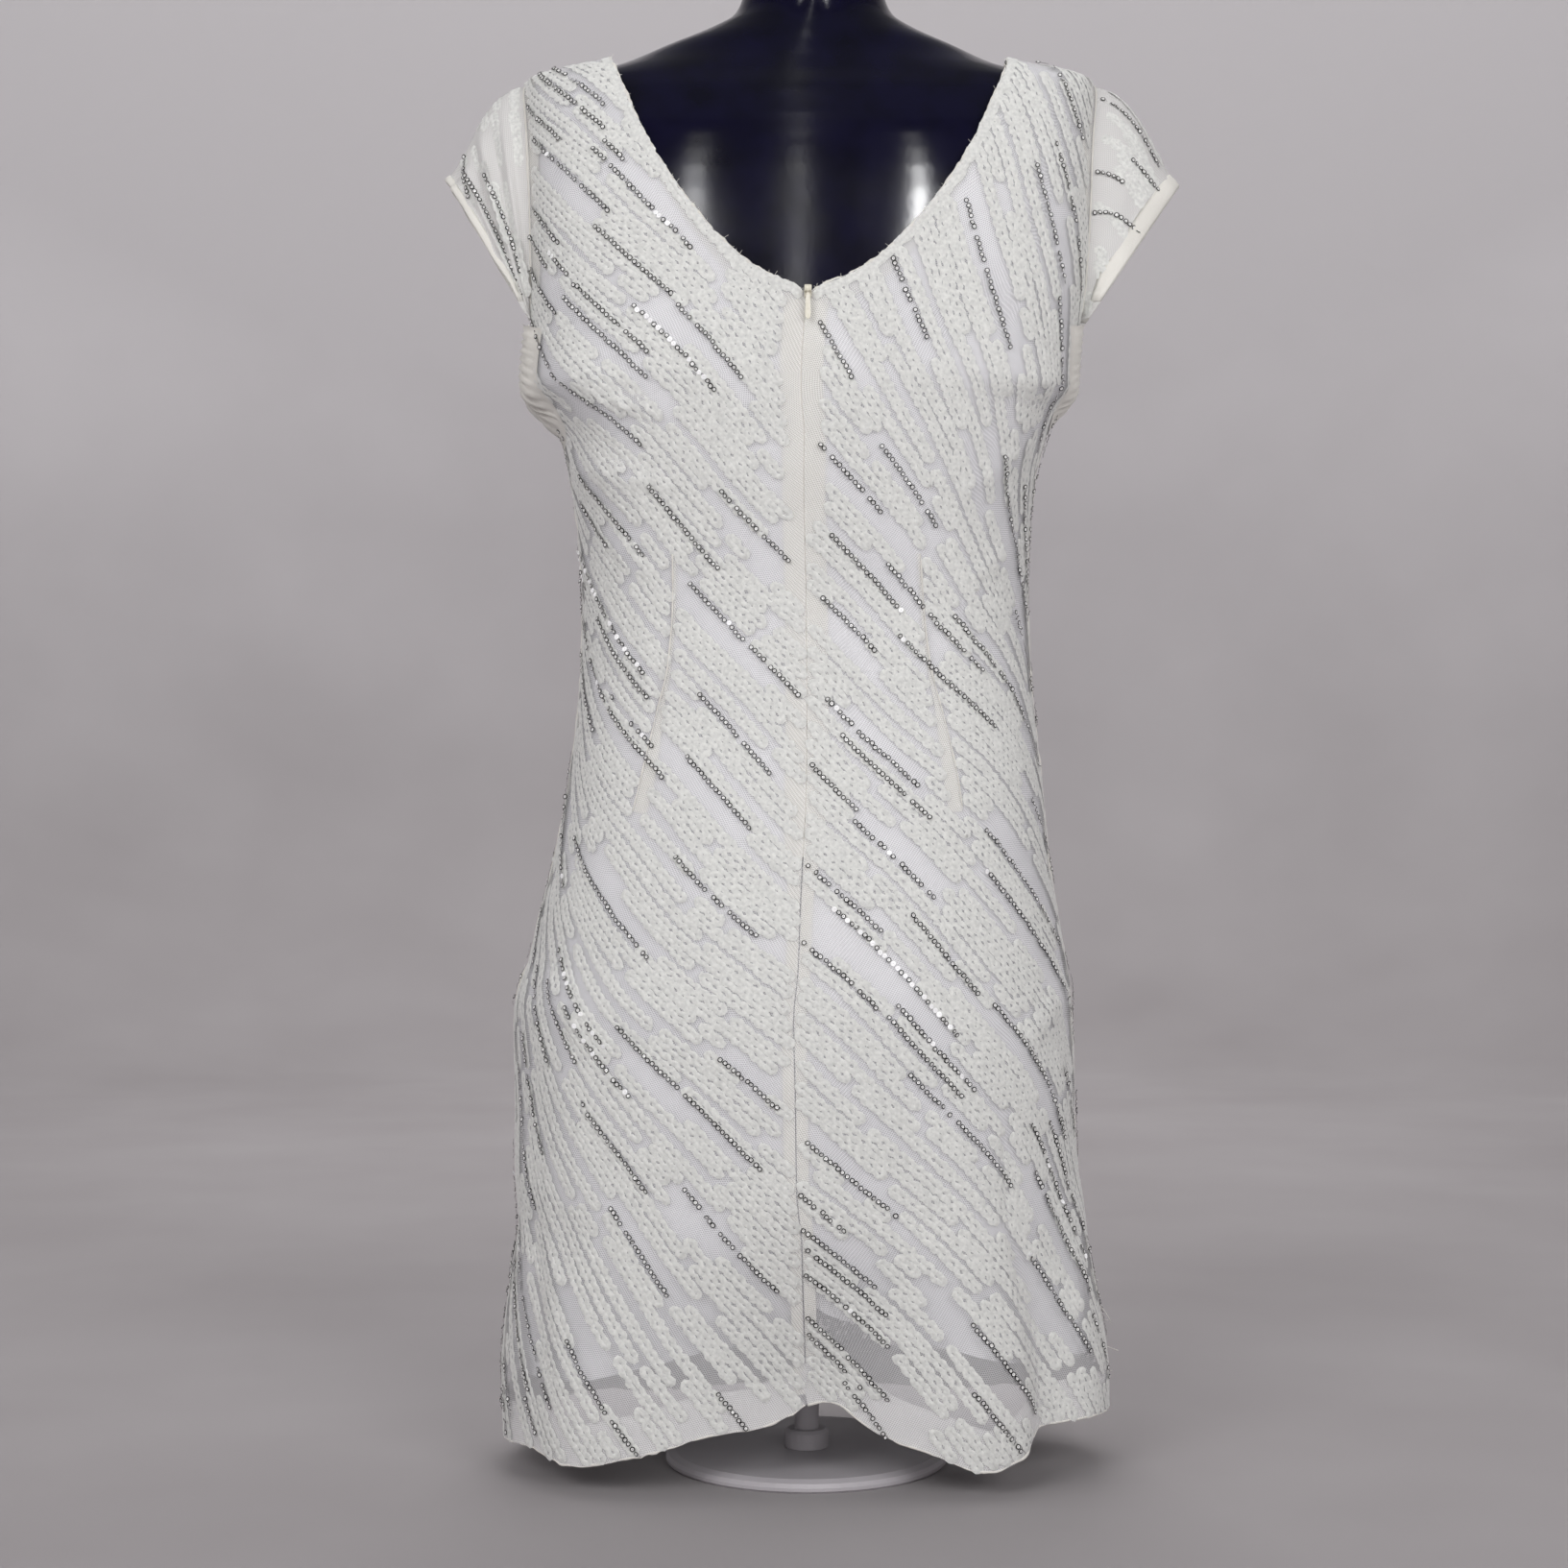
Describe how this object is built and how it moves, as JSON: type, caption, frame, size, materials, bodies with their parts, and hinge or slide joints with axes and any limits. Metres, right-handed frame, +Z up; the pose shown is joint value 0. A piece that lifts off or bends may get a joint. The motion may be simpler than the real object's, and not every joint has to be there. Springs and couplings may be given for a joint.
{
  "type": "cocktail dress on a dress form",
  "caption": "Lined cocktail dress with cap sleeves, a deep scooped back neck, a concealed back zip and a softly folded hem, worn by a limbless torso form on a low round stand.",
  "frame": {"origin": "on the floor, in the middle of the stand base's underside", "axes": "+Z up along the pole, -Y out of the back of the dress, where its zip is, and +X towards the wearer's right"},
  "size_m": [0.4808, 0.2513, 1.0013],
  "materials": {
    "net": "sheer white net with raised cord embroidery and clear sequins",
    "lining": "smooth cool white satin",
    "trim": "turned and stitched cream white edges",
    "tape": "woven cream zip tape",
    "zip": "cream enamel",
    "form": "glossy navy black",
    "steel": "brushed",
    "stand": "pale grey satin paint"
  },
  "bodies": {
    "dress_on_form": {"shell_front": "net", "shell_back_left": "net", "shell_back_right": "net", "sleeve_left": "net", "sleeve_right": "net", "lining_front": "lining", "lining_back_left": "lining", "lining_back_right": "lining", "sleeve_band_left": "trim", "sleeve_band_right": "trim", "armhole_binding_left": "trim", "armhole_binding_right": "trim", "zip_tape": "tape", "zip_slider": "zip", "form_torso": "form", "form_neck_cap": "steel", "form_socket": "steel", "stand_pole": "stand", "stand_collar": "stand", "stand_base": "stand"},
    "pull_tab": {"zip_pull": "zip"}
  },
  "joints": [
    {"name": "pull_tab_swing", "type": "hinge", "parent": "dress_on_form", "child": "pull_tab", "pos_m": [0, -0.10099, 0.746], "axis": [-1, 0, 0], "range_deg": [0, 160]}
  ]
}
